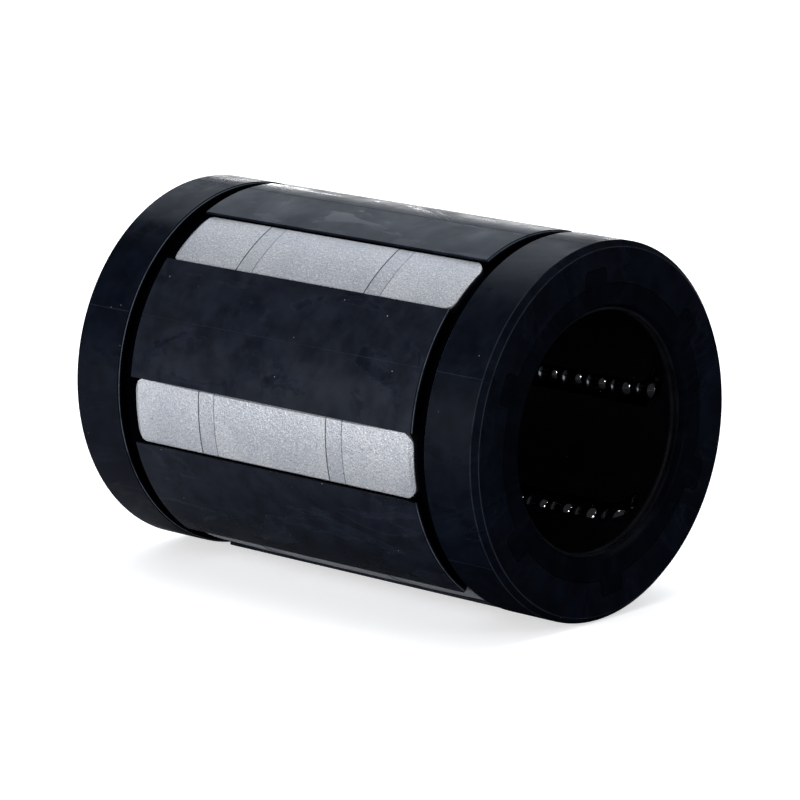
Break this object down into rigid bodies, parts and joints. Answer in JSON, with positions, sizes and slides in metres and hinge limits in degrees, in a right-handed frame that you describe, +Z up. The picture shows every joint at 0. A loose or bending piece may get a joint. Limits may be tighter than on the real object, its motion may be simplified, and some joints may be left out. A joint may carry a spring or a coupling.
{
  "type": "linear ball bushing",
  "caption": "Closed self-aligning linear ball bushing: black plastic sleeve with steel load plates, recirculating balls, wiper seals and retaining-ring grooves.",
  "frame": {"origin": "middle of the bore, halfway between the end faces", "axes": "+X along the bore out of the front face, +Z up with the bushing lying on its side"},
  "size_m": [0.068, 0.047, 0.047],
  "materials": {
    "black_plastic": "moulded blue-black acetal, semi-gloss",
    "cage_plastic": "moulded black acetal",
    "holder_plastic": "moulded blue-black acetal, satin",
    "wiper_rubber": "moulded black nitrile rubber",
    "blasted_steel": "hardened bearing steel, tumbled satin",
    "ball_steel": "polished bearing steel"
  },
  "bodies": {
    "sleeve_body": {"ball_cage": "cage_plastic", "outer_sleeve": "black_plastic", "front_end_ring": "black_plastic", "rear_end_ring": "black_plastic", "front_seal_holder": "holder_plastic", "rear_seal_holder": "holder_plastic", "front_wiper_seal": "wiper_rubber", "rear_wiper_seal": "wiper_rubber"},
    "plate_1": {"load_plate_1": "blasted_steel"},
    "loaded_row_1": {"loaded_balls_1": "ball_steel"},
    "return_row_1": {"return_balls_1": "ball_steel"},
    "front_turn_1": {"front_turn_balls_1": "ball_steel"},
    "rear_turn_1": {"rear_turn_balls_1": "ball_steel"},
    "plate_2": {"load_plate_2": "blasted_steel"},
    "loaded_row_2": {"loaded_balls_2": "ball_steel"},
    "return_row_2": {"return_balls_2": "ball_steel"},
    "front_turn_2": {"front_turn_balls_2": "ball_steel"},
    "rear_turn_2": {"rear_turn_balls_2": "ball_steel"},
    "plate_3": {"load_plate_3": "blasted_steel"},
    "loaded_row_3": {"loaded_balls_3": "ball_steel"},
    "return_row_3": {"return_balls_3": "ball_steel"},
    "front_turn_3": {"front_turn_balls_3": "ball_steel"},
    "rear_turn_3": {"rear_turn_balls_3": "ball_steel"},
    "plate_4": {"load_plate_4": "blasted_steel"},
    "loaded_row_4": {"loaded_balls_4": "ball_steel"},
    "return_row_4": {"return_balls_4": "ball_steel"},
    "front_turn_4": {"front_turn_balls_4": "ball_steel"},
    "rear_turn_4": {"rear_turn_balls_4": "ball_steel"},
    "plate_5": {"load_plate_5": "blasted_steel"},
    "loaded_row_5": {"loaded_balls_5": "ball_steel"},
    "return_row_5": {"return_balls_5": "ball_steel"},
    "front_turn_5": {"front_turn_balls_5": "ball_steel"},
    "rear_turn_5": {"rear_turn_balls_5": "ball_steel"},
    "plate_6": {"load_plate_6": "blasted_steel"},
    "loaded_row_6": {"loaded_balls_6": "ball_steel"},
    "return_row_6": {"return_balls_6": "ball_steel"},
    "front_turn_6": {"front_turn_balls_6": "ball_steel"},
    "rear_turn_6": {"rear_turn_balls_6": "ball_steel"}
  },
  "joints": [
    {"name": "plate_1_tilt", "type": "hinge", "parent": "sleeve_body", "child": "plate_1", "pos_m": [0, -0.01323, 0.01889], "axis": [0, 0.8192, 0.5736], "range_deg": [-0.5, 0.5]},
    {"name": "loaded_row_1_roll", "type": "slide", "parent": "plate_1", "child": "loaded_row_1", "axis": [1, 0, 0], "range_m": [-0.0028, 0.001]},
    {"name": "return_row_1_roll", "type": "slide", "parent": "sleeve_body", "child": "return_row_1", "axis": [1, 0, 0], "range_m": [-0.00101, 0.00281]},
    {"name": "front_turn_1_roll", "type": "hinge", "parent": "sleeve_body", "child": "front_turn_1", "pos_m": [0.026, -0.01293, 0.0118], "axis": [0, 0.5536, -0.8328], "range_deg": [-42, 15.03]},
    {"name": "rear_turn_1_roll", "type": "hinge", "parent": "sleeve_body", "child": "rear_turn_1", "pos_m": [-0.026, -0.01293, 0.0118], "axis": [0, 0.5536, -0.8328], "range_deg": [-42, 15.03]},
    {"name": "plate_2_tilt", "type": "hinge", "parent": "sleeve_body", "child": "plate_2", "pos_m": [0, -0.02297, -0.00201], "axis": [0, -0.0872, 0.9962], "range_deg": [-0.5, 0.5]},
    {"name": "loaded_row_2_roll", "type": "slide", "parent": "plate_2", "child": "loaded_row_2", "axis": [1, 0, 0], "range_m": [-0.0008, 0.003]},
    {"name": "return_row_2_roll", "type": "slide", "parent": "sleeve_body", "child": "return_row_2", "axis": [1, 0, 0], "range_m": [-0.00301, 0.00081]},
    {"name": "front_turn_2_roll", "type": "hinge", "parent": "sleeve_body", "child": "front_turn_2", "pos_m": [0.026, -0.01668, -0.0053], "axis": [0, 0.998, 0.063], "range_deg": [-12.04, 44.99]},
    {"name": "rear_turn_2_roll", "type": "hinge", "parent": "sleeve_body", "child": "rear_turn_2", "pos_m": [-0.026, -0.01668, -0.0053], "axis": [0, 0.998, 0.063], "range_deg": [-12.04, 44.99]},
    {"name": "plate_3_tilt", "type": "hinge", "parent": "sleeve_body", "child": "plate_3", "pos_m": [0, -0.00975, -0.0209], "axis": [0, -0.9063, 0.4226], "range_deg": [-0.5, 0.5]},
    {"name": "loaded_row_3_roll", "type": "slide", "parent": "plate_3", "child": "loaded_row_3", "axis": [1, 0, 0], "range_m": [-0.0023, 0.0015]},
    {"name": "return_row_3_roll", "type": "slide", "parent": "sleeve_body", "child": "return_row_3", "axis": [1, 0, 0], "range_m": [-0.00151, 0.00231]},
    {"name": "front_turn_3_roll", "type": "hinge", "parent": "sleeve_body", "child": "front_turn_3", "pos_m": [0.026, -0.00375, -0.0171], "axis": [0, 0.4444, 0.8958], "range_deg": [-34.51, 22.52]},
    {"name": "rear_turn_3_roll", "type": "hinge", "parent": "sleeve_body", "child": "rear_turn_3", "pos_m": [-0.026, -0.00375, -0.0171], "axis": [0, 0.4444, 0.8958], "range_deg": [-34.51, 22.52]},
    {"name": "plate_4_tilt", "type": "hinge", "parent": "sleeve_body", "child": "plate_4", "pos_m": [0, 0.01323, -0.01889], "axis": [0, -0.8192, -0.5736], "range_deg": [-0.5, 0.5]},
    {"name": "loaded_row_4_roll", "type": "slide", "parent": "plate_4", "child": "loaded_row_4", "axis": [1, 0, 0], "range_m": [-0.00155, 0.00225]},
    {"name": "return_row_4_roll", "type": "slide", "parent": "sleeve_body", "child": "return_row_4", "axis": [1, 0, 0], "range_m": [-0.00226, 0.00156]},
    {"name": "front_turn_4_roll", "type": "hinge", "parent": "sleeve_body", "child": "front_turn_4", "pos_m": [0.026, 0.01293, -0.0118], "axis": [0, -0.5536, 0.8328], "range_deg": [-23.27, 33.76]},
    {"name": "rear_turn_4_roll", "type": "hinge", "parent": "sleeve_body", "child": "rear_turn_4", "pos_m": [-0.026, 0.01293, -0.0118], "axis": [0, -0.5536, 0.8328], "range_deg": [-23.27, 33.76]},
    {"name": "plate_5_tilt", "type": "hinge", "parent": "sleeve_body", "child": "plate_5", "pos_m": [0, 0.02297, 0.00201], "axis": [0, 0.0872, -0.9962], "range_deg": [-0.5, 0.5]},
    {"name": "loaded_row_5_roll", "type": "slide", "parent": "plate_5", "child": "loaded_row_5", "axis": [1, 0, 0], "range_m": [-0.00124, 0.00256]},
    {"name": "return_row_5_roll", "type": "slide", "parent": "sleeve_body", "child": "return_row_5", "axis": [1, 0, 0], "range_m": [-0.00257, 0.00125]},
    {"name": "front_turn_5_roll", "type": "hinge", "parent": "sleeve_body", "child": "front_turn_5", "pos_m": [0.026, 0.01668, 0.0053], "axis": [0, -0.998, -0.063], "range_deg": [-18.63, 38.4]},
    {"name": "rear_turn_5_roll", "type": "hinge", "parent": "sleeve_body", "child": "rear_turn_5", "pos_m": [-0.026, 0.01668, 0.0053], "axis": [0, -0.998, -0.063], "range_deg": [-18.63, 38.4]},
    {"name": "plate_6_tilt", "type": "hinge", "parent": "sleeve_body", "child": "plate_6", "pos_m": [0, 0.00975, 0.0209], "axis": [0, 0.9063, -0.4226], "range_deg": [-0.5, 0.5]},
    {"name": "loaded_row_6_roll", "type": "slide", "parent": "plate_6", "child": "loaded_row_6", "axis": [1, 0, 0], "range_m": [-0.0032, 0.0006]},
    {"name": "return_row_6_roll", "type": "slide", "parent": "sleeve_body", "child": "return_row_6", "axis": [1, 0, 0], "range_m": [-0.00061, 0.00321]},
    {"name": "front_turn_6_roll", "type": "hinge", "parent": "sleeve_body", "child": "front_turn_6", "pos_m": [0.026, 0.00375, 0.0171], "axis": [0, -0.4444, -0.8958], "range_deg": [-47.99, 9.04]},
    {"name": "rear_turn_6_roll", "type": "hinge", "parent": "sleeve_body", "child": "rear_turn_6", "pos_m": [-0.026, 0.00375, 0.0171], "axis": [0, -0.4444, -0.8958], "range_deg": [-47.99, 9.04]}
  ],
  "couplings": [
    {"joint": "return_row_1_roll", "follows": "loaded_row_1_roll", "ratio": -1},
    {"joint": "front_turn_1_roll", "follows": "loaded_row_1_roll", "rad_per_m": 261.48},
    {"joint": "rear_turn_1_roll", "follows": "loaded_row_1_roll", "rad_per_m": 261.48},
    {"joint": "return_row_2_roll", "follows": "loaded_row_2_roll", "ratio": -1},
    {"joint": "front_turn_2_roll", "follows": "loaded_row_2_roll", "rad_per_m": 261.48},
    {"joint": "rear_turn_2_roll", "follows": "loaded_row_2_roll", "rad_per_m": 261.48},
    {"joint": "return_row_3_roll", "follows": "loaded_row_3_roll", "ratio": -1},
    {"joint": "front_turn_3_roll", "follows": "loaded_row_3_roll", "rad_per_m": 261.48},
    {"joint": "rear_turn_3_roll", "follows": "loaded_row_3_roll", "rad_per_m": 261.48},
    {"joint": "return_row_4_roll", "follows": "loaded_row_4_roll", "ratio": -1},
    {"joint": "front_turn_4_roll", "follows": "loaded_row_4_roll", "rad_per_m": 261.48},
    {"joint": "rear_turn_4_roll", "follows": "loaded_row_4_roll", "rad_per_m": 261.48},
    {"joint": "return_row_5_roll", "follows": "loaded_row_5_roll", "ratio": -1},
    {"joint": "front_turn_5_roll", "follows": "loaded_row_5_roll", "rad_per_m": 261.48},
    {"joint": "rear_turn_5_roll", "follows": "loaded_row_5_roll", "rad_per_m": 261.48},
    {"joint": "return_row_6_roll", "follows": "loaded_row_6_roll", "ratio": -1},
    {"joint": "front_turn_6_roll", "follows": "loaded_row_6_roll", "rad_per_m": 261.48},
    {"joint": "rear_turn_6_roll", "follows": "loaded_row_6_roll", "rad_per_m": 261.48}
  ]
}
